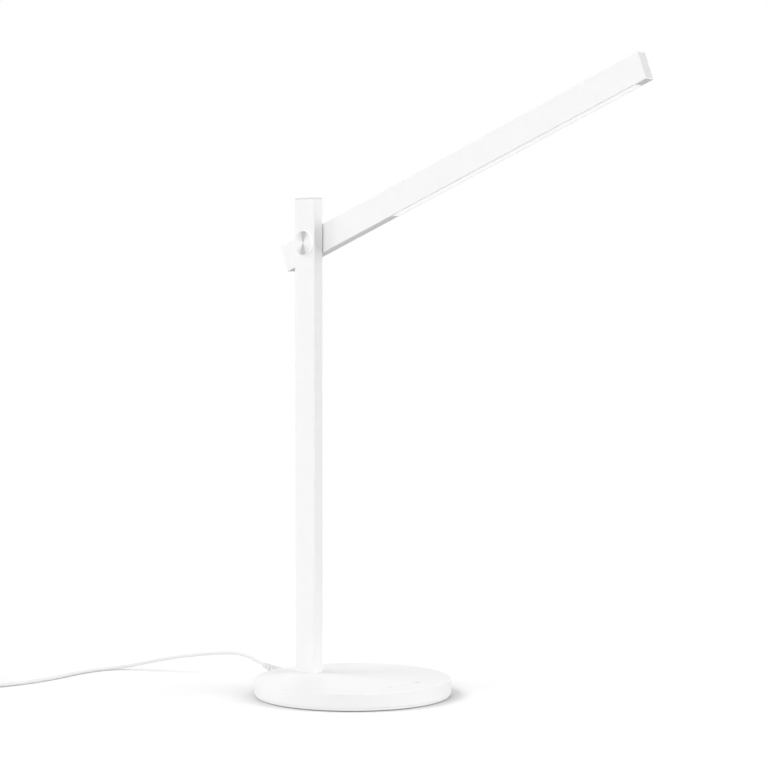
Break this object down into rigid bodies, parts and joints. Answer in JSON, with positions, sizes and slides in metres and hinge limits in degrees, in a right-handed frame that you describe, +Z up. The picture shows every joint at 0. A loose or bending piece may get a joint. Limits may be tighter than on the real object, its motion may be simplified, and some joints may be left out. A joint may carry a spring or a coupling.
{
  "type": "task lamp",
  "caption": "Slim desk task lamp: round weighted base, upright rectangular post and a straight arm that tilts on a friction pivot, with a lit strip in its underside and a thin lead.",
  "frame": {"origin": "middle of the base's underside, on the surface that the lamp stands on", "axes": "+Z up along the post, +X the way the arm points out over the base, -Y the side of the post with the turned disc"},
  "size_m": [0.5865, 0.3588, 0.5023],
  "materials": {
    "shell_plastic": "satin white moulded plastic",
    "cover_plastic": "matt white moulded plastic",
    "cap_plastic": "satin white moulded plastic",
    "pad_rubber": "matt grey anti-slip foam",
    "steel": "zinc plated",
    "iron": "as cast",
    "board": "circuit board with solder mask",
    "foam": "conductive foam",
    "connector_plastic": "natural nylon",
    "white_paint": "extruded tube with a fine white powder coat",
    "bare_aluminium": "bare, as drawn",
    "bearing_plastic": "grey low-friction plastic",
    "turned_metal": "bright, with fine turning rings",
    "led_board_white": "white solder mask",
    "led_phosphor": "phosphor gel",
    "opal": "opal, lit from behind",
    "wire_plastic": "extruded insulation",
    "relief_plastic": "soft white moulding",
    "cord_plastic": "soft white cord sheath",
    "tie_fabric": "woven strap",
    "plug_plastic": "satin white moulding",
    "plug_metal": "nickel plated",
    "tongue_plastic": "moulded insulator",
    "mark_print": "grey printed signs",
    "contact_gold": "gold plated"
  },
  "bodies": {
    "stand": {"base_shell": "shell_plastic", "bottom_cover": "cover_plastic", "foot_pad": "pad_rubber", "cover_screws": "steel", "ballast_plate": "iron", "touch_board": "board", "touch_pads": "foam", "board_connectors": "connector_plastic", "board_screws": "steel", "post_tube": "white_paint", "post_cap": "cap_plastic", "post_foot": "bare_aluminium", "post_screws": "steel", "pivot_bush": "bearing_plastic", "friction_washer": "bearing_plastic", "pivot_disc": "turned_metal", "post_wire": "wire_plastic", "inner_lead": "wire_plastic", "strain_relief": "relief_plastic", "cord": "cord_plastic", "cord_coil": "cord_plastic", "cord_tail": "cord_plastic", "cord_tie": "tie_fabric", "plug_body": "plug_plastic", "plug_shell": "plug_metal", "plug_tongue": "tongue_plastic"},
    "arm": {"arm_tube": "white_paint", "arm_front_cap": "cap_plastic", "arm_rear_cap": "cap_plastic", "pivot_sleeve": "steel", "thrust_washer": "steel", "spring_washer": "steel", "pivot_nut": "steel", "led_carrier": "bare_aluminium", "led_board": "led_board_white", "leds": "led_phosphor", "diffuser": "opal", "arm_wire": "wire_plastic"}
  },
  "joints": [
    {"name": "arm_tilt", "type": "hinge", "parent": "stand", "child": "arm", "pos_m": [-0.0485, 0.0055, 0.3675], "axis": [0, -1, 0], "range_deg": [-110.9, 69.1]}
  ]
}
